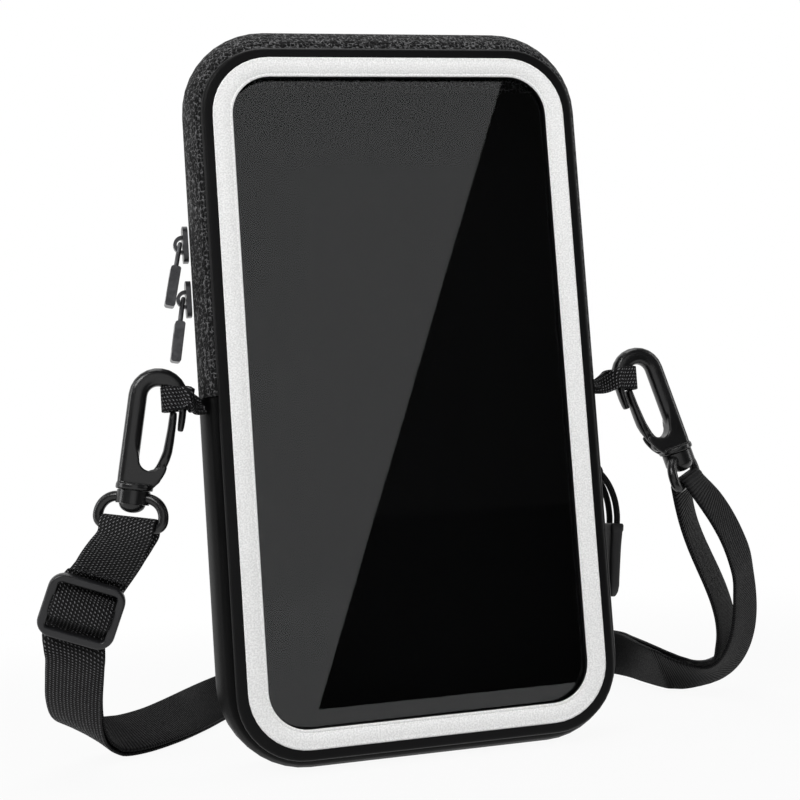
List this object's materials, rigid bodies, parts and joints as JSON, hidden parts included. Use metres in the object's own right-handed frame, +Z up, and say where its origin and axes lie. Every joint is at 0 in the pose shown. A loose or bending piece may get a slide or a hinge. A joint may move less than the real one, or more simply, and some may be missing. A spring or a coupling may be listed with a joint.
{
  "type": "phone pouch",
  "caption": "Upright zip pouch with a clear framed window, round-the-top zip flap, side zip and a double webbing strap on swivel snap hooks.",
  "frame": {"origin": "middle of the flat bottom, on the rest plane", "axes": "+Z up, -Y out of the window, +X to the right seen from the front"},
  "size_m": [0.2093, 0.1378, 0.1904],
  "materials": {
    "shell_fabric": "matte coated",
    "gusset_fabric": "satin",
    "zip_tape": "woven",
    "reflective_film": "reflective",
    "clear_film": "clear gloss",
    "zip_teeth": "satin",
    "gunmetal": "satin",
    "cord": "braided",
    "grip_rubber": "satin",
    "hook_finish": "gloss",
    "adjuster_finish": "satin",
    "webbing": "woven"
  },
  "bodies": {
    "pouch": {"front_frame_lower": "shell_fabric", "reflective_border_lower": "reflective_film", "window_film_lower": "clear_film", "lower_gusset": "gusset_fabric", "zip_gusset_rear": "zip_tape", "zip_teeth_rear": "zip_teeth", "back_panel": "shell_fabric", "divider_panel": "shell_fabric", "side_zip_teeth": "zip_teeth", "left_loop": "webbing", "right_loop": "webbing", "left_hook_frame": "hook_finish", "right_hook_frame": "hook_finish", "left_rivet": "gunmetal", "right_rivet": "gunmetal", "left_tab_fold": "webbing", "strap_outer_layer": "webbing", "strap_inner_layer": "webbing", "strap_adjuster": "adjuster_finish"},
    "front_flap": {"front_frame_upper": "shell_fabric", "reflective_border_upper": "reflective_film", "window_film_upper": "clear_film", "zip_gusset_front": "zip_tape", "zip_teeth_front": "zip_teeth"},
    "upper_zip_slider": {"upper_slider": "gunmetal"},
    "upper_pull": {"upper_pull_link": "gunmetal", "upper_pull_tag": "gunmetal"},
    "lower_zip_slider": {"lower_slider": "gunmetal"},
    "lower_pull": {"lower_pull_link": "gunmetal", "lower_pull_tag": "gunmetal"},
    "side_zip_slider": {"side_slider": "gunmetal"},
    "side_pull": {"side_pull_cord": "cord", "side_pull_grip": "grip_rubber"},
    "left_hook_gate": {"left_gate": "hook_finish"},
    "right_hook_gate": {"right_gate": "hook_finish"},
    "left_swivel_ring": {"left_ring": "hook_finish", "left_strap_turn": "webbing"},
    "right_swivel_ring": {"right_ring": "hook_finish", "right_strap_turn": "webbing"}
  },
  "joints": [
    {"name": "flap_hinge", "type": "hinge", "parent": "pouch", "child": "front_flap", "pos_m": [0, -0.0134, 0.094], "axis": [1, 0, 0], "range_deg": [0, 70]},
    {"name": "upper_slider_travel", "type": "slide", "parent": "pouch", "child": "upper_zip_slider", "axis": [0, 0, 1], "range_m": [0, 0.026]},
    {"name": "upper_pull_swing", "type": "hinge", "parent": "upper_zip_slider", "child": "upper_pull", "pos_m": [-0.05535, 0.0035, 0.1349], "axis": [0, 1, 0], "range_deg": [0, 150]},
    {"name": "lower_slider_travel", "type": "slide", "parent": "pouch", "child": "lower_zip_slider", "axis": [0, 0, -1], "range_m": [0, 0.006]},
    {"name": "lower_pull_swing", "type": "hinge", "parent": "lower_zip_slider", "child": "lower_pull", "pos_m": [-0.05535, 0.0035, 0.1206], "axis": [0, 1, 0], "range_deg": [-8, 33]},
    {"name": "side_slider_travel", "type": "slide", "parent": "pouch", "child": "side_zip_slider", "axis": [0, 0, -1], "range_m": [0, 0.041]},
    {"name": "side_pull_swing", "type": "hinge", "parent": "side_zip_slider", "child": "side_pull", "pos_m": [0.05502, 0.00495, 0.0688], "axis": [0.1305, -0.9914, 0], "range_deg": [-2, 43]},
    {"name": "left_gate_pivot", "type": "hinge", "parent": "pouch", "child": "left_hook_gate", "pos_m": [-0.06591, -0.0035, 0.07497], "axis": [0, -1, 0], "range_deg": [0, 15], "stiffness_Nm_per_rad": 0.02, "springref_deg": -11.46},
    {"name": "right_gate_pivot", "type": "hinge", "parent": "pouch", "child": "right_hook_gate", "pos_m": [0.07195, 0, 0.07525], "axis": [0, 1, 0], "range_deg": [0, 15], "stiffness_Nm_per_rad": 0.02, "springref_deg": -11.46},
    {"name": "left_ring_swivel", "type": "hinge", "parent": "pouch", "child": "left_swivel_ring", "pos_m": [-0.0707, -0.0035, 0.0722], "axis": [0.1822, 0, 0.9833], "continuous": true},
    {"name": "right_ring_swivel", "type": "hinge", "parent": "pouch", "child": "right_swivel_ring", "pos_m": [0.077, 0, 0.073], "axis": [-0.2857, 0, 0.9583], "continuous": true}
  ]
}
